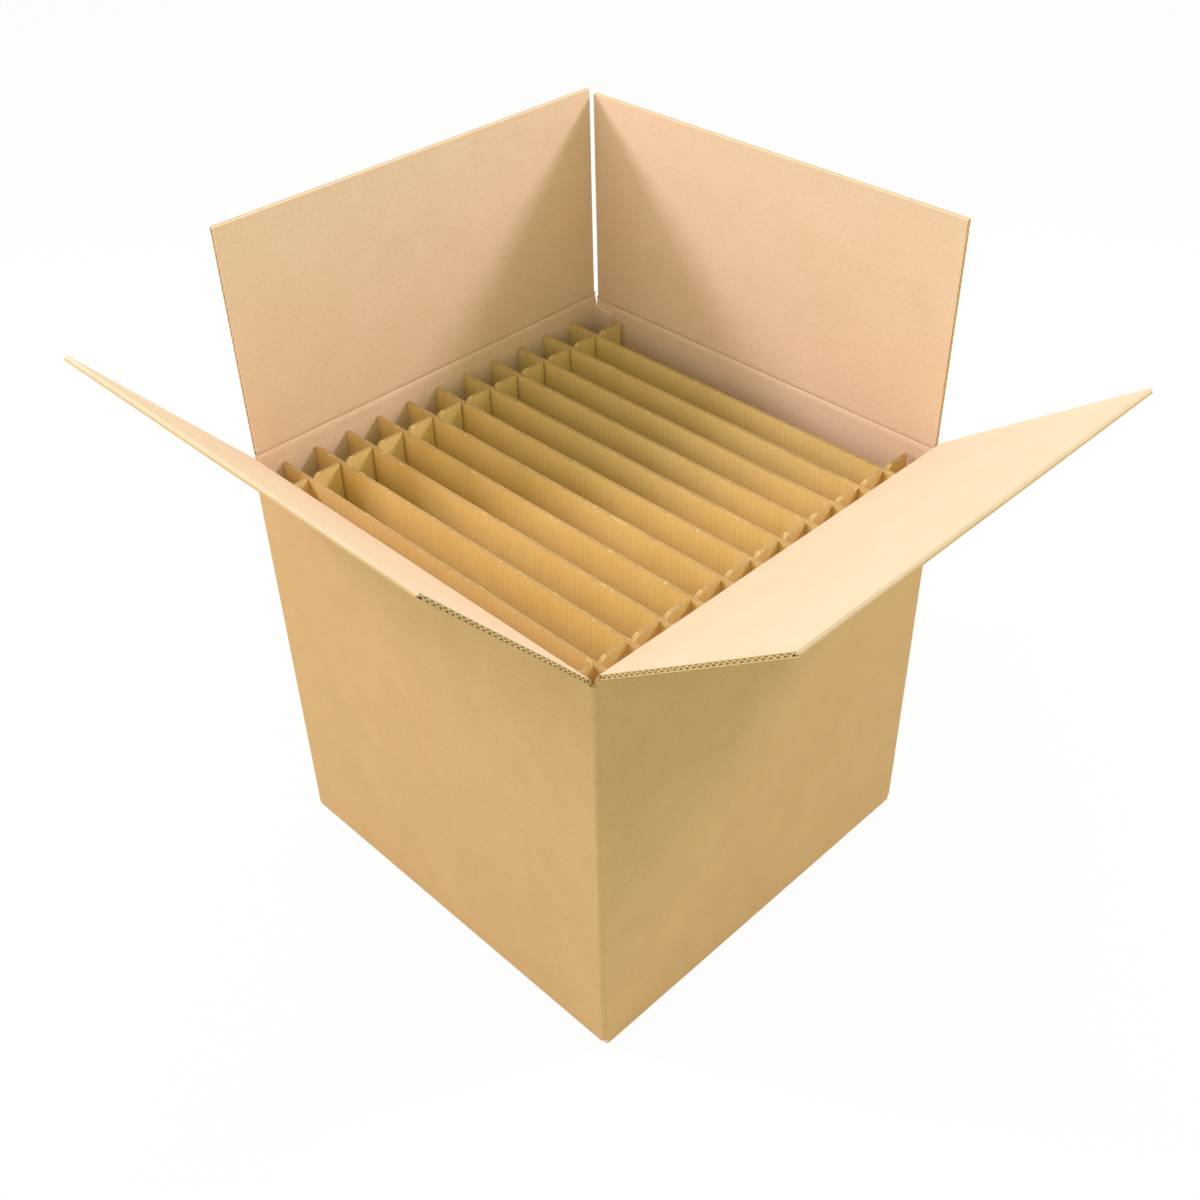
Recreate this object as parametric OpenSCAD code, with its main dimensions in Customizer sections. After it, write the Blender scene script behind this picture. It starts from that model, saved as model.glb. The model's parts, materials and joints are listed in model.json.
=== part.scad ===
// Open cardboard box with a slotted divider insert for carrying plates on edge.
// Origin: middle of the bottom outer face, +Z up.
// The left, front, right and back walls lie at -X, -Y, +X and +Y. Sizes are in millimetres.

/* [Box] */
// Inside length, from the left wall to the right wall
inner_x = 392; // [320:1:520]
// Inside width, from the front wall to the back wall
inner_y = 392; // [320:1:520]
// Inside height, from the closed bottom to the closed inner flaps
inner_h = 396; // [300:1:520]

/* [Board] */
// Thickness of the corrugated board of the box
board = 4; // [3:0.5:6]
// How far the corner slots run past the lower creases into the walls
slot_depth = 1; // [0.5:0.5:3]
// Spacing of the flutes between the two liners
flute_pitch = 6.5; // [5:0.1:10]
// Thickness of each liner, and of the wavy sheet between them
liner_t = 0.5; // [0.3:0.1:0.8]
// Width of a flute where it is narrowest
flute_tip = 1; // [0.6:0.1:1.5]
// How far the open flutes reach in from a flap's side edges
flute_reach = 10; // [4:1:40]

/* [Top flaps] */
// Gap between a flap's side edge and the inside face of the wall beside it
flap_side_gap = 0.6; // [0.4:0.1:3]
// Gap between the free edges of opposite flaps when they are shut
flap_meet_gap = 1; // [0.5:0.5:6]
// Gap between the inner and the outer pair of flaps when they are shut
layer_gap = 0.4; // [0.3:0.1:2]
// Relief on each side of a crease
crease_gap = 0.2; // [0.15:0.05:0.5]
// Lean of the front flap, outwards from upright
front_lean = 54; // [0:1:160]
// Lean of the left flap, outwards from upright
left_lean = 41; // [0:1:160]
// Lean of the back flap, outwards from upright
back_lean = 0; // [0:0.5:160]
// Lean of the right flap, outwards from upright
right_lean = 0; // [0:0.5:160]

/* [Bottom and glue tab] */
// Gap between the bottom flaps at their seams
bottom_seam = 0.5; // [0.2:0.1:0.5]
// Width of the glue tab inside the right wall
tab_w = 23; // [12:1:40]
// How much shorter each end of the tab is at its free edge
tab_taper = 3; // [2:1:20]
// Distance from the tab to the crease above and the slot below
tab_end_gap = 1; // [1:1:10]

/* [Divider insert] */
// Number of dividers
divider_count = 11; // [3:1:13]
// Distance from the left wall's inside face to the middle of the first divider
first_cell = 24; // [15:0.5:60]
// Distance from the middle of the last divider to the right wall's inside face
last_cell = 36; // [15:0.5:60]
// Thickness of a divider
divider_t = 3; // [2:0.5:5]
// Gap between the top of the insert and the shut flaps
insert_top_gap = 7; // [2:1:120]
// Thickness of a cross strip
strip_t = 3; // [2:0.5:5]
// Distance from the front wall's inside face to the middle of the front cross strip
front_inset = 24; // [15:1:60]
// Distance from the back wall's inside face to the middle of the back cross strip
back_inset = 35; // [15:1:60]
// Gap between the insert's ends and what stands beside them
insert_play = 0.5; // [0.3:0.1:3]
// Gap on each side of the board that sits in a slot
slot_play = 1.4; // [0.2:0.1:2]
// Gap between the ends of two slots that meet
slot_end_gap = 1; // [0.5:0.5:6]
// Radius of the rounded corner that leads a divider into a cross strip's slot
mouth_r = 9; // [2:1:12]

/* [Hidden] */
$fn = 64;
eps = 1;
outer_x = inner_x + 2 * board;
outer_y = inner_y + 2 * board;
// Folded board bends round its inside edge, so the outside radius is its thickness.
fold_r = board;
floor_z = 2 * board;
// The left and right flaps shut first, and the front and back flaps lie on them.
inner_crease_z = floor_z + inner_h + board;
outer_crease_z = inner_crease_z + board + layer_gap;
slot_low_z = floor_z + slot_depth;
slot_top_z = inner_crease_z - slot_depth;
mitre_low_z = inner_crease_z - board - crease_gap;
panel_x = inner_x - 2 * flap_side_gap;
panel_y = inner_y - 2 * flap_side_gap;
insert_h = inner_h - insert_top_gap;
divider_pitch = (inner_x - first_cell - last_cell) / (divider_count - 1);
strip_y = [front_inset - inner_y / 2, inner_y / 2 - back_inset];
// Depth of a flute between its liners, and the run of its slanted sides
flute_h = board - 3 * liner_t;
flute_run = (flute_pitch / 2 - flute_tip - 1.4 * liner_t) * flute_h / (flute_h - liner_t);
kraft = "#d2ad75";
kraft_light = "#e3bf90";
divider_kraft = "#c9a052";

function divider_name(i) = str("divider_", i < 10 ? "0" : "", i);
function divider_x(i) = first_cell - inner_x / 2 + (i - 1) * divider_pitch;

// Turns a shape made at the front wall to another side: +Y points inwards, Z = 0 is height z.
module at_side(turn, reach, z) {
    rotate([0, 0, turn]) translate([0, -reach, z]) children();
}

// Runs an outline of depth and height along X, centred.
module run_along(length) {
    rotate([90, 0, 90]) linear_extrude(length, center = true) children();
}

// A quarter of a disc of one fold, towards lower left of the point it turns about.
module fold_quarter() {
    intersection() {
        circle(fold_r);
        translate([-fold_r, -fold_r]) square(fold_r);
    }
}

// The outline of the four walls, folded at three corners and glued at the fourth,
// where the right wall's raw edge is in line with the side of its flap.
module wall_outline() {
    difference() {
        union() {
            square([inner_x, outer_y], center = true);
            square([outer_x, inner_y], center = true);
            for (corner = [[-1, -1], [1, -1], [-1, 1]])
                translate([corner.x * inner_x / 2, corner.y * inner_y / 2]) circle(fold_r);
        }
        square([inner_x, inner_y], center = true);
        translate([inner_x / 2 - board, inner_y / 2]) square(2 * board);
        translate([inner_x / 2, panel_y / 2]) square(2 * board);
    }
    translate([inner_x / 2 - board, inner_y / 2]) mirror([1, 1]) fold_quarter();
}

// The tab of the back wall that is glued inside the right wall, with slanted ends.
module glue_tab() {
    low = slot_low_z + tab_end_gap;
    high = mitre_low_z - tab_end_gap;
    outline = [
        [inner_y / 2, low],
        [inner_y / 2, high],
        [inner_y / 2 - tab_w, high - tab_taper],
        [inner_y / 2 - tab_w, low + tab_taper]
    ];
    translate([inner_x / 2 - board / 2, 0, 0]) run_along(board) polygon(outline);
}

// The upper edge of a wall, mitred at the crease so that its flap can fold flat.
module crease_rim(length, crease_z) {
    run_along(length) polygon([
        [0, mitre_low_z - eps],
        [board, mitre_low_z - eps],
        [board, crease_z - board - crease_gap],
        [0, crease_z - crease_gap]
    ]);
}

// What is cut from the walls above the mitre of the lower creases, between the folded corners.
module crease_cut(length, crease_z) {
    run_along(length) polygon([
        [-eps, crease_z - crease_gap + eps],
        [board + eps, crease_z - board - crease_gap - eps],
        [board + eps, crease_z + eps],
        [-eps, crease_z + eps]
    ]);
}

// The lower edge of a wall with its bottom flap folded under the box at height z.
module bottom_flap(length, reach, z) {
    run_along(length) {
        translate([0, z + board]) square([board, slot_low_z + eps - z - board]);
        translate([board, z + board]) fold_quarter();
        translate([board, z]) square([reach - board - bottom_seam / 2, board]);
    }
}

// One flute seen from its end: wide at the upper liner and narrow at the lower one.
module flute() {
    wide = flute_tip / 2 + flute_run;
    polygon([
        [-wide, board - liner_t],
        [wide, board - liner_t],
        [flute_tip / 2, 2 * liner_t],
        [-flute_tip / 2, 2 * liner_t]
    ]);
}

// The side of a flap, mitred at its crease: depth from the outer face, and height above the crease.
module flap_outline(edge) {
    polygon([
        [0, crease_gap],
        [board, board + crease_gap],
        [board, edge],
        [0, edge]
    ]);
}

// The flutes run along the crease, so a flap's side edge shows a wavy sheet between two liners.
module flute_row(edge) {
    low = board + crease_gap + flute_pitch / 2;
    count = floor((edge - low) / flute_pitch);
    for (i = [0 : count - 1]) translate([0, low + i * flute_pitch]) mirror([1, -1]) flute();
    for (i = [0 : count - 2])
        translate([board, low + (i + 0.5) * flute_pitch]) mirror([1, 1]) flute();
}

// A top flap with open flutes at its side edges, turned outwards by its lean.
module top_flap(length, reach, lean) {
    edge = reach - flap_meet_gap / 2;
    rotate([lean, 0, 0]) difference() {
        run_along(length) flap_outline(edge);
        for (side = [-1, 1])
            translate([side * (length - flute_reach + eps) / 2, 0, 0])
                run_along(flute_reach + eps) flute_row(edge);
    }
}

// The folded and glued sheet: four walls, the glue tab and the closed bottom.
module box_body() {
    color(kraft) union() {
        difference() {
            translate([0, 0, slot_low_z]) linear_extrude(slot_top_z - slot_low_z) wall_outline();
            for (turn = [-90, 90]) at_side(turn, outer_x / 2, 0) crease_cut(inner_y, inner_crease_z);
        }
        glue_tab();
        for (turn = [0, 180]) at_side(turn, outer_y / 2, 0) {
            crease_rim(panel_x, outer_crease_z);
            bottom_flap(panel_x, outer_y / 2, 0);
        }
        for (turn = [-90, 90]) at_side(turn, outer_x / 2, 0) {
            crease_rim(panel_y, inner_crease_z);
            bottom_flap(panel_y, outer_x / 2, board);
        }
    }
}

module front_flap() {
    color(kraft_light) at_side(0, outer_y / 2, outer_crease_z) top_flap(panel_x, outer_y / 2, front_lean);
}

module back_flap() {
    color(kraft_light) at_side(180, outer_y / 2, outer_crease_z) top_flap(panel_x, outer_y / 2, back_lean);
}

module left_flap() {
    color(kraft_light) at_side(-90, outer_x / 2, inner_crease_z) top_flap(panel_y, outer_x / 2, left_lean);
}

module right_flap() {
    color(kraft_light) at_side(90, outer_x / 2, inner_crease_z) top_flap(panel_y, outer_x / 2, right_lean);
}

// A divider stands on the bottom, and its slots open downwards over the cross strips.
module divider(i) {
    depth = insert_h / 2 + slot_end_gap / 2;
    width = strip_t + 2 * slot_play;
    color(divider_kraft) translate([divider_x(i), 0, floor_z]) difference() {
        translate([-divider_t / 2, insert_play - inner_y / 2, 0])
            cube([divider_t, inner_y - 2 * insert_play, insert_h]);
        for (y = strip_y)
            translate([-divider_t, y - width / 2, -eps])
                cube([2 * divider_t, width, depth + eps]);
    }
}

// What is cut off the corner beside a slot: a square less a quarter of a disc.
module slot_mouth() {
    difference() {
        translate([-eps, -mouth_r]) square(mouth_r + eps);
        translate([mouth_r, -mouth_r]) circle(mouth_r);
    }
}

// A cross strip's slots open upwards for the dividers, and its ends stop short of the glue tab.
module cross_strip(y) {
    depth = insert_h / 2 + slot_end_gap / 2;
    width = divider_t + 2 * slot_play;
    length = inner_x - 2 * (board + insert_play);
    color(divider_kraft) translate([0, y, floor_z]) difference() {
        translate([-length / 2, -strip_t / 2, 0]) cube([length, strip_t, insert_h]);
        for (i = [1 : divider_count])
            translate([divider_x(i) + width / 2, 0, insert_h]) {
                translate([-width, -strip_t, -depth]) cube([width, 2 * strip_t, depth + eps]);
                rotate([90, 0, 0]) linear_extrude(2 * strip_t, center = true) slot_mouth();
            }
    }
}

box_body();
front_flap();
left_flap();
back_flap();
right_flap();
for (i = [1 : divider_count])
    divider(i);
cross_strip(strip_y[0]);  // cross_strip_front
cross_strip(strip_y[1]);  // cross_strip_back
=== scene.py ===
# %% [markdown]
# An open cardboard box with a divider insert.
# The real box is one sheet of corrugated board, folded and glued, with four top flaps.
# Inside stand eleven dividers, held apart by two slotted cross strips.
# The lesson loads the measured frame first, then makes the board the way it is made:
# two flat liners with a wavy sheet glued between them.

# %% Load the frame
import json
import math

import bmesh
import bpy
from mathutils import Matrix, Vector


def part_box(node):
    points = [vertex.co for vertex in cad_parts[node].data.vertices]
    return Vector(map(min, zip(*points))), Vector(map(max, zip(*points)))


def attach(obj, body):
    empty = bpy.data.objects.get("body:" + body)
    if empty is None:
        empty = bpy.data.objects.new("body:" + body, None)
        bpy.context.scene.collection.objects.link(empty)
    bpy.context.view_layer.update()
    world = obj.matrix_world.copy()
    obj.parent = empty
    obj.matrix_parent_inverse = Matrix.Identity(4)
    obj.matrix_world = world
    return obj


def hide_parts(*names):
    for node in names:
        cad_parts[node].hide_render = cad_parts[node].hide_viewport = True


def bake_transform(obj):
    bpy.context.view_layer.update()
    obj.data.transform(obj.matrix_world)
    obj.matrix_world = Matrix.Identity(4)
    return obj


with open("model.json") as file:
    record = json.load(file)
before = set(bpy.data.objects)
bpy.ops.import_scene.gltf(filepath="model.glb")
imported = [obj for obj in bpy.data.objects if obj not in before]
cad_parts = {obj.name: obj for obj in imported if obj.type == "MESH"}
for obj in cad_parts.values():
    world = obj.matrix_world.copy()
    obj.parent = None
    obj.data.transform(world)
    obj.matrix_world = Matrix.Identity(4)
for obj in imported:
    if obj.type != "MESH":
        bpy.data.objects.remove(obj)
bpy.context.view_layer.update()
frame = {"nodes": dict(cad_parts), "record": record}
MM = 0.001

# %% [markdown]
# The outer size of the box is read off the frame, so it need not be fitted by hand.
# The heights of the hinge lines come from the imported record's joints; the board's thickness, the flaps'
# sizes and their leans are given.

# %% Sizes of the box and its flaps
box_low, box_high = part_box("box_body")
OUTER = box_high.x
BOARD = 4.0 * MM
CREASE_GAP = 0.2 * MM
LEANS = {"front": 54.0, "left": 41.0, "back": 0.0, "right": 0.0}
TURNS = {"front": 0.0, "left": -90.0, "back": 180.0, "right": 90.0}
HINGES = {joint["name"].split("_")[0]: joint for joint in frame["record"]["behaviour"]["joints"]}
CREASE_Z = {side: HINGES[side]["pos_m"][2] for side in TURNS}
FLAP_ACROSS = 390.8 * MM
FLAP_EDGE = 199.5 * MM
print("outer half width", round(OUTER, 4), "crease heights", CREASE_Z)

# %% [markdown]
# Colours are written as the sRGB hex values that a colour picker shows.
# Blender mixes light in linear values, so one function converts them.
# Nodes are added by one small function too, which takes a node's settings and its links.

# %% Helpers for colours and nodes
def colour(hex_text):
    parts = [int(hex_text[i:i + 2], 16) / 255 for i in (1, 3, 5)]
    linear = [c / 12.92 if c <= 0.04045 else ((c + 0.055) / 1.055) ** 2.4 for c in parts]
    return (*linear, 1.0)


def add(tree, kind, links=None, **settings):
    node = tree.nodes.new(kind)
    for name, value in settings.items():
        setattr(node, name, value)
    for key, value in (links or {}).items():
        if isinstance(value, bpy.types.Node):
            value = value.outputs[0]
        if isinstance(value, bpy.types.NodeSocket):
            tree.links.new(value, node.inputs[key])
        else:
            node.inputs[key].default_value = value
    return node


print("white is", colour("#ffffff"))

# %% [markdown]
# Kraft liner is unbleached paper, rolled and glued under heat.
# It is matt, with fibres along the direction in which the board was made,
# soft clouds of lighter and darker pulp, a few dark specks,
# and faint stripes where the flutes underneath show through.
# A map of the board in metres carries the pattern: U runs across the flutes, V along them.

# %% The pattern of kraft paper
# Fibres are about 3 mm long and half a millimetre wide, drawn twice as coarse to show.
FIBRE_SCALE = (160, 900, 1)
# Clouds of pulp are about 35 mm across, and specks of bark about 1 mm.
CLOUD_SCALE = 28.0
SPECK_SCALE = 900.0
BARK = "#7a5a36"


def paper_colour(tree, fibre, stripes, light, dark):
    """Light and dark pulp in clouds and fibres, with faint stripes and a few specks."""
    solid = add(tree, "ShaderNodeTexCoord").outputs["Object"]
    cloud = add(tree, "ShaderNodeTexNoise", {
        "Vector": solid, "Scale": CLOUD_SCALE, "Detail": 5.0, "Roughness": 0.55})
    speck = add(tree, "ShaderNodeTexNoise", {
        "Vector": solid, "Scale": SPECK_SCALE, "Detail": 1.0, "Roughness": 0.5})
    speck_share = add(tree, "ShaderNodeMapRange", {
        "Value": speck, "From Min": 0.66, "From Max": 0.78, "To Min": 0.0, "To Max": 0.35})
    tone = add(tree, "ShaderNodeMath", {0: fibre, 1: 0.5, 2: stripes}, operation="MULTIPLY_ADD")
    tone = add(tree, "ShaderNodeMath", {0: cloud, 1: 0.35, 2: tone}, operation="MULTIPLY_ADD")
    share = add(tree, "ShaderNodeMapRange", {"Value": tone, "From Min": 0.2, "From Max": 0.65})
    paper = add(tree, "ShaderNodeMix", {"Factor": share, 6: colour(dark), 7: colour(light)},
                data_type="RGBA")
    specked = add(tree, "ShaderNodeMix", {
        "Factor": speck_share, 6: paper.outputs[2], 7: colour(BARK)}, data_type="RGBA")
    return specked.outputs[2]


print("clouds of pulp are about", round(1000 / CLOUD_SCALE), "mm across")

# %% Kraft liner
PAPER_IOR = 1.47


def kraft_liner(name, light, dark, pitch, stripe):
    """A matt paper in two tones, with stripes of a given strength at the pitch of the flutes."""
    material = bpy.data.materials.new(name)
    material.use_nodes = True
    tree = material.node_tree
    place = add(tree, "ShaderNodeUVMap", uv_map="board").outputs["UV"]
    fibre_place = add(tree, "ShaderNodeMapping", {"Vector": place, "Scale": FIBRE_SCALE})
    fibre = add(tree, "ShaderNodeTexNoise", {
        "Vector": fibre_place, "Scale": 1.0, "Detail": 4.0, "Roughness": 0.6})
    across = add(tree, "ShaderNodeSeparateXYZ", {"Vector": place}).outputs["X"]
    turns = add(tree, "ShaderNodeMath", {0: across, 1: 2 * math.pi / pitch}, operation="MULTIPLY")
    wave = add(tree, "ShaderNodeMath", {0: turns}, operation="SINE")
    stripes = add(tree, "ShaderNodeMath", {0: wave, 1: stripe}, operation="MULTIPLY")
    rough = add(tree, "ShaderNodeMapRange", {
        "Value": fibre, "From Min": 0.3, "From Max": 0.7, "To Min": 0.78, "To Max": 0.92})
    height = add(tree, "ShaderNodeMath", {0: wave, 1: 0.15, 2: fibre}, operation="MULTIPLY_ADD")
    bump = add(tree, "ShaderNodeBump", {"Strength": 0.35, "Distance": 0.4 * MM, "Height": height})
    shader = tree.nodes["Principled BSDF"].inputs
    tree.links.new(paper_colour(tree, fibre, stripes, light, dark), shader["Base Color"])
    tree.links.new(rough.outputs[0], shader["Roughness"])
    tree.links.new(bump.outputs[0], shader["Normal"])
    shader["IOR"].default_value = PAPER_IOR
    shader["Specular IOR Level"].default_value = 0.25
    return material


print("paper bends light with an index of", PAPER_IOR)

# %% The papers of this box
BOX_PITCH = 6.5 * MM
DIVIDER_PITCH = 6.4 * MM
# The outside is plain brown kraft, and the inside of the box is paler and a little pink.
outer_liner = kraft_liner("outer kraft liner", "#D4AA79", "#C59969", BOX_PITCH, 0.02)
inner_liner = kraft_liner("inner kraft liner", "#EED0B6", "#E2C1A2", BOX_PITCH, 0.02)
# The dividers are yellower, and their flutes show as clear stripes.
divider_liner = kraft_liner("divider kraft liner", "#F2D48E", "#E3C077", DIVIDER_PITCH, 0.035)
# Fluting paper is recycled, duller paper that shows only at the cut edges.
fluting = kraft_liner("fluting paper", "#E0C396", "#CBAA79", BOX_PITCH, 0.0)
# Torn fibre is nearly white, and a cut divider edge is soft and greyish brown.
torn_paper = kraft_liner("torn paper fibre", "#EFE2CB", "#DCC9A8", BOX_PITCH, 0.0)
raw_edge = kraft_liner("raw divider edge", "#C8A672", "#B08E5C", BOX_PITCH, 0.0)
papers = (outer_liner, inner_liner, divider_liner, fluting, torn_paper, raw_edge)
print("papers:", ", ".join(paper.name for paper in papers))

# %% [markdown]
# Corrugated board could be drawn as a solid slab with a striped edge.
# Here it is built as in the mill: a wavy sheet of fluting between two liners.
# The flaps and the boards of the insert follow the same rule, so one Geometry Nodes tree makes them all.
# X runs across the flutes, Y along them, and Z through the thickness.
# The tree is long, so it is built in steps, and each step is a function that adds its nodes.

# %% Inputs of the board tree
BOARD_LENGTHS = {
    "Across": 0.2, "Along": 0.39, "Board": 0.004, "Flute Pitch": 0.0065, "Paper": 0.0005,
    "Fluting Paper": 0.0006, "Mitre": 0.0, "First Slot": 0.0, "Slot Pitch": 0.03, "Slot Width": 0.006,
    "Slot Low": 0.0, "Slot High": 0.1, "Mouth": 0.0, "Ragged": 0.0, "Wander": 0.0003, "Seed": 0.0}
BOARD_COUNTS = {"Slots": 0, "Columns": 60, "Rows": 24, "Bits": 0}
BOARD_PAPERS = ("Outer Liner", "Inner Liner", "Fluting", "Torn Paper", "Raw Edge")


def board_inputs(tree):
    """Declares what goes into the tree and comes out, and returns the sockets of its input node."""
    sockets = tree.interface
    sockets.new_socket("Geometry", in_out="OUTPUT", socket_type="NodeSocketGeometry")
    for kind, values in (("NodeSocketFloat", BOARD_LENGTHS), ("NodeSocketInt", BOARD_COUNTS)):
        for name, value in values.items():
            sockets.new_socket(name, in_out="INPUT", socket_type=kind).default_value = value
    for name in BOARD_PAPERS:
        sockets.new_socket(name, in_out="INPUT", socket_type="NodeSocketMaterial")
    return add(tree, "NodeGroupInput").outputs


print(len(BOARD_LENGTHS) + len(BOARD_COUNTS) + len(BOARD_PAPERS), "inputs")

# %% [markdown]
# A die cuts the insert's slots out of the flat sheet, and a row of boxes does so here.
# A strip's slot has one rounded corner at its mouth, which lets the dividers slide in.
# A block less a round bar takes that corner off, and is joined to the slot's box before the cut.

# %% Slots
CUT_THROUGH = 10.0 * MM
CUT_PAST = 1.0 * MM
MOUTH_POINTS = 48


def rounded_mouth(tree, given):
    """A block less a round bar, at one corner of a slot's mouth."""
    side = add(tree, "ShaderNodeMath", {0: given["Mouth"], 1: CUT_PAST}, operation="ADD")
    block_size = add(tree, "ShaderNodeCombineXYZ", {"X": side, "Y": side, "Z": CUT_THROUGH})
    block = add(tree, "GeometryNodeMeshCube", {"Size": block_size})
    bar_at = add(tree, "ShaderNodeMath", {0: side, 1: 0.5}, operation="MULTIPLY")
    bar_low = add(tree, "ShaderNodeMath", {0: bar_at, 1: -1.0}, operation="MULTIPLY")
    bar = add(tree, "GeometryNodeMeshCylinder", {
        "Vertices": MOUTH_POINTS, "Radius": given["Mouth"], "Depth": 2 * CUT_THROUGH})
    bar = add(tree, "GeometryNodeTransform", {
        "Geometry": bar, "Translation": add(tree, "ShaderNodeCombineXYZ", {"X": bar_at, "Y": bar_low})})
    corner = add(tree, "GeometryNodeMeshBoolean", {0: block, 1: bar},
                 operation="DIFFERENCE", solver="EXACT")
    reach = add(tree, "ShaderNodeMath", {0: given["Mouth"], 1: -CUT_PAST}, operation="ADD")
    reach_x = add(tree, "ShaderNodeMath", {0: given["Slot Width"], 1: reach}, operation="ADD")
    reach_y = add(tree, "ShaderNodeMath", {0: given["Along"], 1: reach}, operation="SUBTRACT")
    corner_x = add(tree, "ShaderNodeMath", {0: reach_x, 1: 0.5}, operation="MULTIPLY")
    corner_y = add(tree, "ShaderNodeMath", {0: reach_y, 1: 0.5}, operation="MULTIPLY")
    return add(tree, "GeometryNodeTransform", {
        "Geometry": corner,
        "Translation": add(tree, "ShaderNodeCombineXYZ", {"X": corner_x, "Y": corner_y})})


def slot_cutters(tree, given):
    """A row of boxes, one for each slot, with rounded mouths where they are asked for."""
    ends = add(tree, "ShaderNodeMath", {0: given["Slot Low"], 1: given["Slot High"]}, operation="ADD")
    middle = add(tree, "ShaderNodeMath", {0: ends, 1: 0.5}, operation="MULTIPLY")
    length = add(tree, "ShaderNodeMath", {0: given["Slot High"], 1: given["Slot Low"]},
                 operation="SUBTRACT")
    size = add(tree, "ShaderNodeCombineXYZ", {"X": given["Slot Width"], "Y": length, "Z": CUT_THROUGH})
    slot = add(tree, "GeometryNodeTransform", {
        "Geometry": add(tree, "GeometryNodeMeshCube", {"Size": size}),
        "Translation": add(tree, "ShaderNodeCombineXYZ", {"Y": middle})})
    both = add(tree, "GeometryNodeMeshBoolean", {1: slot}, operation="UNION", solver="EXACT")
    tree.links.new(rounded_mouth(tree, given).outputs[0], both.inputs[1])
    has_mouth = add(tree, "FunctionNodeCompare", {0: given["Mouth"], 1: 0.0}, operation="GREATER_THAN")
    cutter = add(tree, "GeometryNodeSwitch", {"Switch": has_mouth, "False": slot, "True": both},
                 input_type="GEOMETRY")
    row = add(tree, "GeometryNodeMeshLine", {
        "Count": given["Slots"],
        "Start Location": add(tree, "ShaderNodeCombineXYZ", {"X": given["First Slot"]}),
        "Offset": add(tree, "ShaderNodeCombineXYZ", {"X": given["Slot Pitch"]})})
    cutters = add(tree, "GeometryNodeInstanceOnPoints", {"Points": row, "Instance": cutter})
    return add(tree, "GeometryNodeRealizeInstances", {0: cutters})


print("a cut goes", round(CUT_THROUGH / MM), "mm through the sheet")

# %% [markdown]
# Each layer starts as a flat slab of paper, with its slots cut while it is flat.
# At a crease the layers stop one after the other, so the board's end is mitred and a flap can fold.
# Then the liners move apart, and the middle layer swings in a sine wave that just touches both.

# %% Three layers
OUTER_SETBACK = 0.2
FLUTING_SETBACK = 0.85
INNER_SETBACK = 1.0
COLUMNS_PER_FLUTE = 8.0


def flat_layer(tree, given, cutters, has_slots, columns, paper, setback):
    """One flat sheet with its slots, shortened by a share of the mitre at its crease end."""
    short = add(tree, "ShaderNodeMath", {0: given["Mitre"], 1: setback}, operation="MULTIPLY")
    width = add(tree, "ShaderNodeMath", {0: given["Across"], 1: short}, operation="SUBTRACT")
    shift = add(tree, "ShaderNodeMath", {0: short, 1: 0.5}, operation="MULTIPLY")
    size = add(tree, "ShaderNodeCombineXYZ", {"X": width, "Y": given["Along"], "Z": paper})
    slab = add(tree, "GeometryNodeMeshCube", {
        "Size": size, "Vertices X": columns, "Vertices Y": given["Rows"], "Vertices Z": 2})
    cut = add(tree, "GeometryNodeMeshBoolean", {0: slab, 1: cutters},
              operation="DIFFERENCE", solver="EXACT")
    chosen = add(tree, "GeometryNodeSwitch", {"Switch": has_slots, "False": slab, "True": cut},
                 input_type="GEOMETRY")
    return add(tree, "GeometryNodeTransform", {
        "Geometry": chosen, "Translation": add(tree, "ShaderNodeCombineXYZ", {"X": shift})})


def wave_height(tree, given, half):
    """The height of the wavy sheet's middle, from its place across the board."""
    position = add(tree, "GeometryNodeInputPosition")
    across = add(tree, "ShaderNodeSeparateXYZ", {"Vector": position}).outputs["X"]
    count = add(tree, "ShaderNodeMath", {0: across, 1: given["Flute Pitch"]}, operation="DIVIDE")
    phase = add(tree, "ShaderNodeMath", {0: count, 1: 2 * math.pi}, operation="MULTIPLY")
    sine = add(tree, "ShaderNodeMath", {0: phase}, operation="SINE")
    papers = add(tree, "ShaderNodeMath", {0: given["Paper"], 1: given["Fluting Paper"]}, operation="ADD")
    swing = add(tree, "ShaderNodeMath", {0: papers, 1: -0.5, 2: half}, operation="MULTIPLY_ADD")
    return add(tree, "ShaderNodeMath", {0: sine, 1: swing}, operation="MULTIPLY")


def three_layers(tree, given, has_slots):
    """The outer liner, the inner liner and the wavy sheet between them."""
    cutters = slot_cutters(tree, given)
    room = add(tree, "ShaderNodeMath", {0: given["Board"], 1: given["Paper"]}, operation="SUBTRACT")
    half = add(tree, "ShaderNodeMath", {0: room, 1: 0.5}, operation="MULTIPLY")
    lift = add(tree, "ShaderNodeCombineXYZ", {"Z": half})
    drop = add(tree, "ShaderNodeVectorMath", {0: lift, 3: -1.0}, operation="SCALE")
    flutes = add(tree, "ShaderNodeMath", {0: given["Across"], 1: given["Flute Pitch"]}, operation="DIVIDE")
    columns = add(tree, "ShaderNodeMath", {0: flutes, 1: COLUMNS_PER_FLUTE, 2: 1.0},
                  operation="MULTIPLY_ADD")
    columns = add(tree, "FunctionNodeFloatToInt", {"Float": columns})
    rise = add(tree, "ShaderNodeCombineXYZ", {"Z": wave_height(tree, given, half)})
    layers = []
    for count, paper, setback, offset in (
        (given["Columns"], given["Paper"], OUTER_SETBACK, lift),
        (given["Columns"], given["Paper"], INNER_SETBACK, drop),
        (columns, given["Fluting Paper"], FLUTING_SETBACK, rise),
    ):
        sheet = flat_layer(tree, given, cutters, has_slots, count, paper, setback)
        layers.append(add(tree, "GeometryNodeSetPosition", {"Geometry": sheet, "Offset": offset}))
    return layers


print("each flute has", round(COLUMNS_PER_FLUTE), "columns of points")

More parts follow.
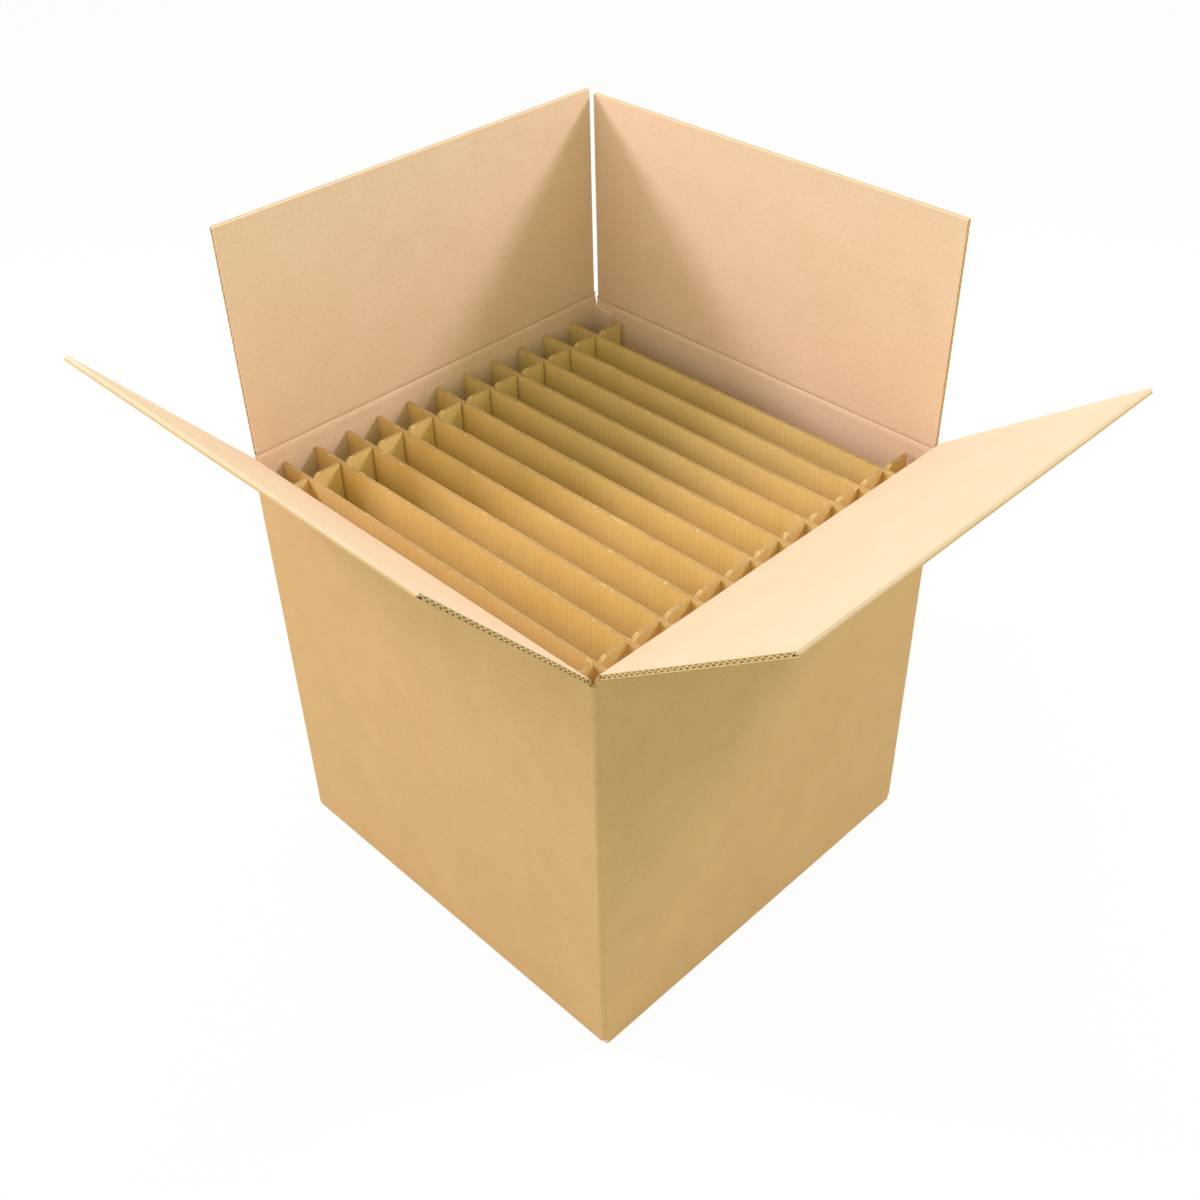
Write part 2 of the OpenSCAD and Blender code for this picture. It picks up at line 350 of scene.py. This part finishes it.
# %% [markdown]
# The knife that cuts the board crushes it: paper closes the board along its free edge,
# and a little way in from the side edges the flutes are pinched, so one can't look right through.
# Both are thin strips between the liners, which is enough for what the eye sees of them.

# %% Edges pressed by the knife
EDGE_DEPTH = 1.2 * MM
EDGE_INSET = 0.8 * MM
PINCH_DEPTH = 0.4 * MM
PINCH_INSET = 1.4 * MM
PINCH_SHORT = (12.0 * MM, 0.0, 0.0)


def knife_edges(tree, given, has_slots):
    """The strip that closes the free edge, and the pair that pinches the flutes where no slots are."""
    room = add(tree, "ShaderNodeMath", {0: given["Board"], 1: given["Paper"]}, operation="SUBTRACT")
    between = add(tree, "ShaderNodeMath", {0: room, 1: given["Paper"]}, operation="SUBTRACT")
    edge_size = add(tree, "ShaderNodeCombineXYZ", {"X": EDGE_DEPTH, "Y": given["Along"], "Z": between})
    edge_at = add(tree, "ShaderNodeMath", {0: given["Across"], 1: 0.5, 2: -EDGE_INSET},
                  operation="MULTIPLY_ADD")
    edge = add(tree, "GeometryNodeTransform", {
        "Geometry": add(tree, "GeometryNodeMeshCube", {"Size": edge_size, "Vertices Y": given["Rows"]}),
        "Translation": add(tree, "ShaderNodeCombineXYZ", {"X": edge_at})})
    long_size = add(tree, "ShaderNodeCombineXYZ", {"X": given["Across"], "Y": PINCH_DEPTH, "Z": between})
    pinch_size = add(tree, "ShaderNodeVectorMath", {0: long_size, 1: PINCH_SHORT}, operation="SUBTRACT")
    pinch_at = add(tree, "ShaderNodeMath", {0: given["Along"], 1: 0.5, 2: -PINCH_INSET},
                   operation="MULTIPLY_ADD")
    pinch_step = add(tree, "ShaderNodeMath", {0: pinch_at, 1: -2.0}, operation="MULTIPLY")
    pinch_ends = add(tree, "GeometryNodeMeshLine", {
        "Count": 2,
        "Start Location": add(tree, "ShaderNodeCombineXYZ", {"Y": pinch_at}),
        "Offset": add(tree, "ShaderNodeCombineXYZ", {"Y": pinch_step})})
    pinched = add(tree, "GeometryNodeInstanceOnPoints", {
        "Points": pinch_ends, "Instance": add(tree, "GeometryNodeMeshCube", {"Size": pinch_size})})
    pinched = add(tree, "GeometryNodeRealizeInstances", {0: pinched})
    return edge, add(tree, "GeometryNodeSwitch", {"Switch": has_slots, "False": pinched},
                     input_type="GEOMETRY")


print("flutes are pinched", round(PINCH_INSET / MM, 1), "mm in from the side edges")

# %% [markdown]
# Handling tears pale bits of fibre out of a divider's upper edge.
# Each bit is a small crushed ball, moved, turned and sized at random with a fixed seed,
# so that every run gives the same box.

# %% Torn bits of fibre
BIT_PLACES = ((0.002, -0.0005, -0.0013), (0.014, 0.0001, 0.0013))
BIT_TURNS = ((0.0, 0.0, 0.0), (0.6, 0.9, 0.6))
BIT_SIZES = ((0.0005, 0.0004, 0.0002), (0.0022, 0.0009, 0.0006))


def torn_bits(tree, given):
    """A row of pale bits along the upper edge."""
    start_x = add(tree, "ShaderNodeMath", {0: given["Across"], 1: -0.5}, operation="MULTIPLY")
    start_y = add(tree, "ShaderNodeMath", {0: given["Along"], 1: 0.5}, operation="MULTIPLY")
    step = add(tree, "ShaderNodeMath", {0: given["Across"], 1: given["Bits"]}, operation="DIVIDE")
    row = add(tree, "GeometryNodeMeshLine", {
        "Count": given["Bits"],
        "Start Location": add(tree, "ShaderNodeCombineXYZ", {"X": start_x, "Y": start_y}),
        "Offset": add(tree, "ShaderNodeCombineXYZ", {"X": step})})
    astray, turned, sized = [
        add(tree, "FunctionNodeRandomValue", {0: low, 1: high, "Seed": given["Seed"]},
            data_type="FLOAT_VECTOR")
        for low, high in (BIT_PLACES, BIT_TURNS, BIT_SIZES)]
    points = add(tree, "GeometryNodeSetPosition", {"Geometry": row, "Offset": astray})
    bits = add(tree, "GeometryNodeInstanceOnPoints", {
        "Points": points, "Rotation": turned, "Scale": sized,
        "Instance": add(tree, "GeometryNodeMeshIcoSphere", {"Radius": 1.0, "Subdivisions": 1})})
    return add(tree, "GeometryNodeRealizeInstances", {0: bits})


print("the longest bit is", round(2 * BIT_SIZES[1][0] / MM, 1), "mm long")

# %% [markdown]
# Paper is never quite flat and a worn edge is never quite straight.
# A fine noise moves the points of the upper edge up and down, each layer for itself.
# A slow noise bends all three layers together.
# It is eased to nothing at the crease end, so that a flap still shuts.
# The board's map in metres is stored before that, so the pattern of the paper follows the bend.

# %% Wear and bend
# The noise is stretched through the thickness, which gives each layer its own wear.
LAYERS_APART = (1.0, 1.0, 40.0)
WORN_SCALE = 160.0
WORN_LEVEL = 0.62
TOP_BAND = 0.2 * MM
BEND_SCALE = 9.0
BEND_EASE = 30.0 * MM
RAW_NORMAL = 0.25


def upper_edge(tree, given, height):
    """True for points in the last fifth of a millimetre of the board's upper edge."""
    line = add(tree, "ShaderNodeMath", {0: given["Along"], 1: 0.5, 2: -TOP_BAND}, operation="MULTIPLY_ADD")
    return add(tree, "FunctionNodeCompare", {0: height, 1: line}, operation="GREATER_THAN")


def worn_edge(tree, given, position):
    """How far a point of the upper edge rises or sinks."""
    apart = add(tree, "ShaderNodeVectorMath", {0: position, 1: LAYERS_APART}, operation="MULTIPLY")
    seeded = add(tree, "ShaderNodeCombineXYZ", {"Y": given["Seed"]})
    place = add(tree, "ShaderNodeVectorMath", {0: apart, 1: seeded}, operation="ADD")
    worn = add(tree, "ShaderNodeTexNoise", {"Vector": place, "Scale": WORN_SCALE, "Detail": 3.0})
    level = add(tree, "ShaderNodeMath", {0: worn, 1: WORN_LEVEL}, operation="SUBTRACT")
    rise = add(tree, "ShaderNodeMath", {0: level, 1: given["Ragged"]}, operation="MULTIPLY")
    return add(tree, "ShaderNodeCombineXYZ", {"Y": rise})


def slow_bend(tree, given, parts):
    """How far a point of the board leaves the flat plane."""
    place = add(tree, "ShaderNodeCombineXYZ", {"X": parts["X"], "Y": parts["Y"], "Z": given["Seed"]})
    slow = add(tree, "ShaderNodeTexNoise", {"Vector": place, "Scale": BEND_SCALE, "Detail": 1.0})
    level = add(tree, "ShaderNodeMath", {0: slow, 1: 0.5}, operation="SUBTRACT")
    flat_end = add(tree, "ShaderNodeMath", {0: given["Across"], 1: -0.5}, operation="MULTIPLY")
    free_end = add(tree, "ShaderNodeMath", {0: flat_end, 1: BEND_EASE}, operation="ADD")
    eased = add(tree, "ShaderNodeMapRange", {
        "Value": parts["X"], "From Min": flat_end, "From Max": free_end, "To Max": given["Wander"]},
        interpolation_type="SMOOTHSTEP")
    bend = add(tree, "ShaderNodeMath", {0: level, 1: eased}, operation="MULTIPLY")
    return add(tree, "ShaderNodeCombineXYZ", {"Z": bend})


def worn_and_bent(tree, given, board):
    """The finished board: mapped, worn, bent, and with raw paper on its cut upper edge."""
    position = add(tree, "GeometryNodeInputPosition")
    parts = add(tree, "ShaderNodeSeparateXYZ", {"Vector": position}).outputs
    at_top = upper_edge(tree, given, parts["Y"])
    mapped = add(tree, "GeometryNodeStoreNamedAttribute", {
        "Geometry": board, "Name": "board", "Value": position}, data_type="FLOAT2", domain="CORNER")
    worn = add(tree, "GeometryNodeSetPosition", {
        "Geometry": mapped, "Selection": at_top, "Offset": worn_edge(tree, given, position)})
    bent = add(tree, "GeometryNodeSetPosition", {
        "Geometry": worn, "Offset": slow_bend(tree, given, parts)})
    normal = add(tree, "ShaderNodeSeparateXYZ", {"Vector": add(tree, "GeometryNodeInputNormal")})
    upward = add(tree, "FunctionNodeCompare", {0: normal.outputs["Y"], 1: RAW_NORMAL},
                 operation="GREATER_THAN")
    raw = add(tree, "FunctionNodeBooleanMath", {0: upward, 1: at_top}, operation="AND")
    return add(tree, "GeometryNodeSetMaterial", {
        "Geometry": bent, "Selection": raw, "Material": given["Raw Edge"]})


print("the bend fades out over", round(BEND_EASE / MM), "mm at the crease end")

# %% The whole board tree
def board_tree():
    tree = bpy.data.node_groups.new("corrugated board", "GeometryNodeTree")
    given = board_inputs(tree)
    has_slots = add(tree, "FunctionNodeCompare", {2: given["Slots"], 3: 0},
                    data_type="INT", operation="GREATER_THAN")
    outer, inner, medium = three_layers(tree, given, has_slots)
    edge, pinched = knife_edges(tree, given, has_slots)
    board = add(tree, "GeometryNodeJoinGeometry")
    for sheet, paper in (
        (outer, "Outer Liner"), (inner, "Inner Liner"), (medium, "Fluting"), (edge, "Inner Liner"),
        (torn_bits(tree, given), "Torn Paper"), (pinched, "Fluting"),
    ):
        dressed = add(tree, "GeometryNodeSetMaterial", {"Geometry": sheet, "Material": given[paper]})
        tree.links.new(dressed.outputs[0], board.inputs[0])
    whole = add(tree, "GeometryNodeRealizeInstances", {0: worn_and_bent(tree, given, board)})
    add(tree, "NodeGroupOutput", {0: whole})
    return tree


corrugated = board_tree()
print("board tree has", len(corrugated.nodes), "nodes")

# %% [markdown]
# A board becomes a plain mesh as soon as its tree has run, because a finished piece carries no modifier.
# Its place is then written into the mesh, so the object itself stays at the origin.

# %% From the tree to a piece
def make_board(name, placed, liners, **sizes):
    """A plain piece from the tree; the sizes are the tree's inputs, with _ for a space."""
    holder = bpy.data.objects.new("holder", bpy.data.meshes.new("holder"))
    bpy.context.collection.objects.link(holder)
    modifier = holder.modifiers.new("board", "NODES")
    modifier.node_group = corrugated
    values = {
        "Outer_Liner": liners[0], "Inner_Liner": liners[1], "Fluting": fluting, "Torn_Paper": torn_paper,
        "Raw_Edge": fluting, **sizes}
    for item in corrugated.interface.items_tree:
        word = item.name.replace(" ", "_")
        if word in values:
            modifier[item.identifier] = values[word]
    graph = bpy.context.evaluated_depsgraph_get()
    mesh = bpy.data.meshes.new_from_object(holder.evaluated_get(graph), depsgraph=graph)
    bpy.data.objects.remove(holder)
    mesh.name = name
    # The tree leaves an empty first place in the list of materials.
    if mesh.materials[0] is None:
        mesh.materials.pop(index=0)
    mesh.transform(placed)
    piece = bpy.data.objects.new(name, mesh)
    bpy.context.collection.objects.link(piece)
    return piece


# %% [markdown]
# The four top flaps belong to the same sheet as the walls, and each turns on its crease.
# They could be plain slabs, but their cut edges are what the eye meets first,
# so each is a piece of the corrugated board above, with its flutes open at both sides.
# On a flap the flutes run along the crease, so the board's X axis points up the flap.

# %% Four top flaps
def flap_place(side):
    """From the flap's own axes, with Y up from the crease and the outer face at Y zero, to the frame."""
    return (
        Matrix.Rotation(math.radians(TURNS[side]), 4, "Z")
        @ Matrix.Translation((0, -OUTER, CREASE_Z[side]))
        @ Matrix.Rotation(math.radians(LEANS[side]), 4, "X")
    )


flap_up = FLAP_EDGE - CREASE_GAP
flap_sizes = {
    "Across": flap_up, "Board": BOARD, "Flute_Pitch": BOX_PITCH, "Mitre": BOARD, "Wander": 0.6 * MM,
    "Paper": 0.7 * MM, "Fluting_Paper": 0.9 * MM}
face_out = Matrix(((0, -1, 0, 0), (0, 0, -1, 0), (1, 0, 0, 0), (0, 0, 0, 1)))
# The two flaps that meet at the back corner were cut a little short, so a slit of light shows there.
SLIT = 2.0 * MM
trims = {"front": 0.0, "left": 0.0, "back": SLIT, "right": -SLIT}
for number, side in enumerate(TURNS):
    centre = Matrix.Translation((trims[side] / 2, BOARD / 2, CREASE_GAP + flap_up / 2))
    flap = make_board(
        f"{side}_flap_board", flap_place(side) @ centre @ face_out, (outer_liner, inner_liner),
        **flap_sizes, Along=FLAP_ACROSS - abs(trims[side]), Seed=float(number))
    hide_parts(f"{side}_flap")
    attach(flap, f"{side}_flap")
    print(flap.name, len(flap.data.polygons), "faces")

# %% [markdown]
# At a crease the board is pressed flat, and the inner liner bends over the fold.
# A crease could be left as an open joint, but then light shows through it.
# Here a web of pressed board fills the mitre, and it bends between the wall and the flap.

# %% Outline of a crease
CREASE_STEPS = 12
CREASE_BULGE = 0.8
GROOVE_DEPTH = 0.9 * MM
GROOVE_WIDTH = 0.11
HINGE_INSET = 0.15 * MM


def crease_section(lean):
    """Depth and height of the web's outline about the hinge: wall end, inner curve, flap end, hinge."""
    lean = math.radians(lean)
    reach = BOARD + CREASE_GAP
    wall = Vector((BOARD, -reach))
    flap = Vector((BOARD * math.cos(lean) - reach * math.sin(lean),
                   BOARD * math.sin(lean) + reach * math.cos(lean)))
    bulge = Vector((BOARD, BOARD * math.tan(lean / 2))) * CREASE_BULGE
    inward = bulge.normalized()
    curve = []
    for step in range(CREASE_STEPS + 1):
        t = step / CREASE_STEPS
        spot = wall * (1 - t) ** 2 + bulge * 2 * t * (1 - t) + flap * t ** 2
        groove = GROOVE_DEPTH * math.exp(-((t - 0.5) / GROOVE_WIDTH) ** 2)
        curve.append(spot - inward * groove)
    return curve + [Vector((HINGE_INSET, 0.0))]


print("a crease has", len(crease_section(0.0)), "points in its outline")

# %% Mesh of a crease
CREASE_COLUMNS = 48


def crease_mesh(name, outline, placed):
    """Runs the outline along the crease, closes both ends and writes the board's map."""
    work = bmesh.new()
    layer = work.loops.layers.uv.new("board")
    rings = []
    for column in range(CREASE_COLUMNS + 1):
        along = FLAP_ACROSS * (column / CREASE_COLUMNS - 0.5)
        rings.append([work.verts.new(placed @ Vector((along, spot.x, spot.y))) for spot in outline])
    count = len(outline)
    for a, b in zip(rings, rings[1:]):
        for k in range(count):
            work.faces.new((a[k], a[(k + 1) % count], b[(k + 1) % count], b[k]))
    work.faces.new(rings[0][::-1])
    work.faces.new(rings[-1])
    bmesh.ops.recalc_face_normals(work, faces=work.faces)
    for face in work.faces:
        for loop in face.loops:
            flat = placed.inverted() @ loop.vert.co
            loop[layer].uv = (flat.z, flat.x)
    mesh = bpy.data.meshes.new(name)
    work.to_mesh(mesh)
    work.free()
    return mesh


print("a crease is", round(FLAP_ACROSS / MM / CREASE_COLUMNS, 1), "mm long between two columns")

# %% Four pressed creases
def make_crease(side):
    """One web, with its papers, that bends between the box and its flap."""
    outline = crease_section(LEANS[side])
    placed = (Matrix.Rotation(math.radians(TURNS[side]), 4, "Z")
              @ Matrix.Translation((0, -OUTER, CREASE_Z[side])))
    mesh = crease_mesh(f"{side}_crease", outline, placed)
    for paper in (inner_liner, raw_edge, outer_liner):
        mesh.materials.append(paper)
    # The two ends are raw, and the sides that meet at the hinge line show the outer paper.
    for face in list(mesh.polygons)[:-2]:
        if face.index % len(outline) >= len(outline) - 2:
            face.material_index = 2
    for end in (-2, -1):
        mesh.polygons[end].material_index = 1
    piece = bpy.data.objects.new(f"{side}_crease", mesh)
    bpy.context.collection.objects.link(piece)
    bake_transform(piece)
    return piece


for side in TURNS:
    crease = make_crease(side)
    print(crease.name, len(crease.data.polygons), "faces")

# %% [markdown]
# The insert is eleven dividers and two cross strips, slotted half way and pushed into each other.
# The dividers' slots open downwards and the strips' slots upwards, so the dividers' tops run through.
# Each board could be modelled by hand, but they all follow the board's rule,
# so the same tree makes them, with slots this time and with a worn upper edge.

# %% Sizes of the insert
DIVIDER = 3.0 * MM
INSERT_H = 389.0 * MM
FLOOR_Z = 8.0 * MM
DIVIDER_ACROSS = 391.0 * MM
STRIP_Y = [-172.0 * MM, 161.0 * MM]
STRIP_ACROSS = 383.0 * MM
DIVIDERS = 11
FIRST_X = -172.0 * MM
STEP_X = 33.2 * MM
SLOT_W = 5.8 * MM
SLOT_DEPTH = 195.0 * MM
# A cut runs past the board's edge, so that no skin of paper is left.
CUT_BEYOND = 10.0 * MM
MOUTH = 9.0 * MM
# With 157 columns no edge of the grid falls on a slot's edge, which keeps the cutting clean.
insert_sizes = {
    "Along": INSERT_H, "Board": DIVIDER, "Flute_Pitch": DIVIDER_PITCH, "Slot_Width": SLOT_W,
    "Paper": 0.7 * MM, "Fluting_Paper": 1.0 * MM, "Rows": 12, "Columns": 157, "Ragged": 1.0 * MM,
    "Raw_Edge": raw_edge}
lie_along_y = Matrix(((0, 0, 1, 0), (1, 0, 0, 0), (0, 1, 0, 0), (0, 0, 0, 1)))
stand_up = Matrix.Rotation(math.radians(90), 4, "X")
print("dividers every", round(STEP_X / MM, 1), "mm, slots", round(SLOT_DEPTH / MM), "mm deep")

# %% Eleven dividers
DIVIDER_SEED = 10.0
TORN_BITS = 24
for number in range(DIVIDERS):
    where = Matrix.Translation((FIRST_X + number * STEP_X, 0, FLOOR_Z + INSERT_H / 2))
    name = f"divider_{number + 1:02d}"
    divider = make_board(
        f"{name}_board", where @ lie_along_y, (divider_liner, divider_liner), **insert_sizes,
        Across=DIVIDER_ACROSS, First_Slot=STRIP_Y[0], Slot_Pitch=STRIP_Y[1] - STRIP_Y[0],
        Slots=len(STRIP_Y), Slot_Low=-INSERT_H / 2 - CUT_BEYOND, Slot_High=SLOT_DEPTH - INSERT_H / 2,
        Bits=TORN_BITS, Seed=DIVIDER_SEED + number)
    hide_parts(name)
    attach(divider, "box")
print(divider.name, len(divider.data.polygons), "faces")

# %% Two cross strips
STRIP_SEED = 30.0
for number, side in enumerate(("front", "back")):
    where = Matrix.Translation((0, STRIP_Y[number], FLOOR_Z + INSERT_H / 2))
    strip = make_board(
        f"cross_strip_{side}_board", where @ stand_up, (divider_liner, divider_liner), **insert_sizes,
        Across=STRIP_ACROSS, First_Slot=FIRST_X, Slot_Pitch=STEP_X, Slots=DIVIDERS,
        Slot_Low=INSERT_H / 2 - SLOT_DEPTH, Slot_High=INSERT_H / 2 + CUT_BEYOND, Mouth=MOUTH,
        Seed=STRIP_SEED + number)
    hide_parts(f"cross_strip_{side}")
    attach(strip, "box")
    print(strip.name, len(strip.data.polygons), "faces")

# %% [markdown]
# Walls, bottom flaps and glue tab are one folded sheet, and the CAD solid already has its true form.
# So its mesh is copied, cleaned of needless edges and given a small round on every sharp edge,
# because folded paper never has a knife-sharp corner.
# The outside gets the brown liner and the inside the paler one.

# %% The folded walls
EDGE_ROUND = 0.4 * MM
MERGE = 0.01 * MM
FLAT_ANGLE = math.radians(0.5)
SHARP_ANGLE = math.radians(40)


def copy_walls():
    """The sheet's mesh without needless edges, with small rounds on the sharp ones."""
    work = bmesh.new()
    work.from_mesh(frame["nodes"]["box_body"].data)
    bmesh.ops.remove_doubles(work, verts=work.verts, dist=MERGE)
    bmesh.ops.dissolve_limit(work, angle_limit=FLAT_ANGLE, verts=work.verts, edges=work.edges)
    sharp = [e for e in work.edges if e.is_manifold and e.calc_face_angle(0) > SHARP_ANGLE]
    bmesh.ops.bevel(
        work, geom=sharp, offset=EDGE_ROUND, segments=2, profile=0.5, affect="EDGES", clamp_overlap=True)
    mesh = bpy.data.meshes.new("box_walls")
    work.to_mesh(mesh)
    work.free()
    return mesh


wall_mesh = copy_walls()
print("walls have", len(wall_mesh.polygons), "faces")

# %% The board's map on a folded sheet
def map_board(mesh):
    """Writes the board's map in metres from each face's direction."""
    layer = mesh.uv_layers.new(name="board")
    for face in mesh.polygons:
        normal = [abs(c) for c in face.normal]
        main = normal.index(max(normal))
        for loop in face.loop_indices:
            spot = mesh.vertices[mesh.loops[loop].vertex_index].co
            layer.data[loop].uv = [(spot.z, spot.y), (spot.z, spot.x), (spot.y, spot.x)][main]


map_board(wall_mesh)
print("maps on the walls:", [layer.name for layer in wall_mesh.uv_layers])

# %% Papers of the walls
def dress_walls(mesh):
    """Outer paper, inner paper, and raw paper where the sheet's cut end shows beside the glued corner."""
    for paper in (outer_liner, inner_liner, raw_edge):
        mesh.materials.append(paper)
    inside = OUTER - BOARD + 0.2 * MM
    for face in mesh.polygons:
        middle = face.center
        face.material_index = int(max(abs(middle.x), abs(middle.y)) < inside and middle.z > BOARD / 2)
        if face.normal.y > 0.9 and abs(middle.y - FLAP_ACROSS / 2) < 0.5 * MM:
            face.material_index = 2


dress_walls(wall_mesh)
walls = bpy.data.objects.new("box_walls", wall_mesh)
bpy.context.collection.objects.link(walls)
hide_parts("box_body")
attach(walls, "box")
print(walls.name, "has", len(wall_mesh.materials), "papers")

# %% [markdown]
# The box stands in a white studio.
# A white floor could be lit until it is white, but that light would bleach the box too.
# Instead the camera is shown white where it meets the floor or the world,
# and the floor keeps a part of its own shading, so the shadow under the box stays.

# %% White floor
def white_for_viewer(tree, part):
    """A share that is part for what the viewer sees directly, or in a gloss or glass, and else 0."""
    path = add(tree, "ShaderNodeLightPath").outputs
    seen = add(tree, "ShaderNodeMath", {0: path["Is Camera Ray"], 1: path["Is Glossy Ray"]},
               operation="ADD")
    seen = add(tree, "ShaderNodeMath", {0: seen, 1: path["Is Transmission Ray"]},
               operation="ADD", use_clamp=True)
    return add(tree, "ShaderNodeMath", {0: seen, 1: part}, operation="MULTIPLY")


FLOOR_WHITE = 0.92
FLOOR_HALF = 6.0
FLOOR_DROP = -0.5 * MM
floor = bpy.data.objects.new("floor", bpy.data.meshes.new("floor"))
corners = [(FLOOR_HALF * x, FLOOR_HALF * y, FLOOR_DROP) for x, y in ((-1, -1), (1, -1), (1, 1), (-1, 1))]
floor.data.from_pydata(corners, [], [(0, 1, 2, 3)])
bpy.context.collection.objects.link(floor)
floor_white = bpy.data.materials.new("white studio floor")
floor_white.use_nodes = True
tree = floor_white.node_tree
shader = tree.nodes["Principled BSDF"]
shader.inputs["Base Color"].default_value = colour("#f0f0f0")
shader.inputs["Roughness"].default_value = 0.9
glow = add(tree, "ShaderNodeEmission", {"Color": (1, 1, 1, 1), "Strength": 1.0})
mixed = add(tree, "ShaderNodeMixShader", {0: white_for_viewer(tree, FLOOR_WHITE), 1: shader, 2: glow})
tree.links.new(mixed.outputs[0], tree.nodes["Material Output"].inputs["Surface"])
floor.data.materials.append(floor_white)
print("floor is", tuple(round(c, 1) for c in floor.dimensions))

# %% [markdown]
# The photo's shadows tell where the lamps stand.
# Two small soft boxes, behind the box to the left and the right, throw the triangles on the upright flaps
# and the slanting shadows on the two near walls.
# A wide panel on the left lifts the sides that face it, and the world fills the rest evenly.

# %% World
# Shade in the photo is a little greener than the light.
SHADE_TINT = (0.92, 1.15, 0.82, 1)
WORLD_STRENGTH = 0.71
scene = bpy.context.scene
scene.view_settings.view_transform = "Standard"
world = bpy.data.worlds.new("white studio")
world.use_nodes = True
tree = world.node_tree
background = tree.nodes["Background"]
background.inputs["Strength"].default_value = WORLD_STRENGTH
background.inputs["Color"].default_value = SHADE_TINT
white = add(tree, "ShaderNodeBackground", {"Color": (1, 1, 1, 1), "Strength": 1.0})
mixed = add(tree, "ShaderNodeMixShader", {0: white_for_viewer(tree, 1.0), 1: background, 2: white})
tree.links.new(mixed.outputs[0], tree.nodes["World Output"].inputs["Surface"])
scene.world = world
print("world strength", WORLD_STRENGTH)

# %% Three lamps
LAMP_TINT = (1.0, 0.89, 1.06)


def soft_light(name, place, target, size, power):
    lamp = bpy.data.lights.new(name, "AREA")
    lamp.shape = "SQUARE"
    lamp.size = size
    lamp.energy = power
    lamp.color = LAMP_TINT
    holder = bpy.data.objects.new(name, lamp)
    holder.location = place
    holder.rotation_euler = (Vector(target) - Vector(place)).to_track_quat("-Z", "Y").to_euler()
    holder.visible_camera = False
    bpy.context.collection.objects.link(holder)
    print(name, power, "W")


soft_light("right softbox", (1.2, -0.82, 1.6), (0, 0, 0.4), 0.34, 19.5)
soft_light("left softbox", (-0.9, 1.15, 1.55), (0, 0, 0.4), 0.34, 17.5)
soft_light("fill panel", (-2.2, 0.7, 1.8), (0, 0, 0.35), 1.6, 14)

# %% [markdown]
# The camera is placed where the photo was taken from.
# Its place and lens were fitted so that the corners of the box fall where the photo has them.
# It is set by its own axes, which needs no guessing of angles.

# %% Camera
CAMERA = Vector((-0.69989, -0.72444, 1.0641))
FORWARD = Vector((0.54277, 0.56087, -0.62517))
RIGHT = Vector((0.70746, -0.70648, -0.0196))
camera = bpy.data.objects.new("camera", bpy.data.cameras.new("camera"))
camera.data.sensor_width = 36.0
camera.data.lens = 43.85
upward = RIGHT.cross(FORWARD).normalized()
sideways = FORWARD.cross(upward).normalized()
turned = Matrix((sideways, upward, -FORWARD.normalized())).transposed().to_4x4()
camera.matrix_world = Matrix.Translation(CAMERA) @ turned
bpy.context.collection.objects.link(camera)
scene.camera = camera
print("camera lens", round(camera.data.lens, 2), "mm")
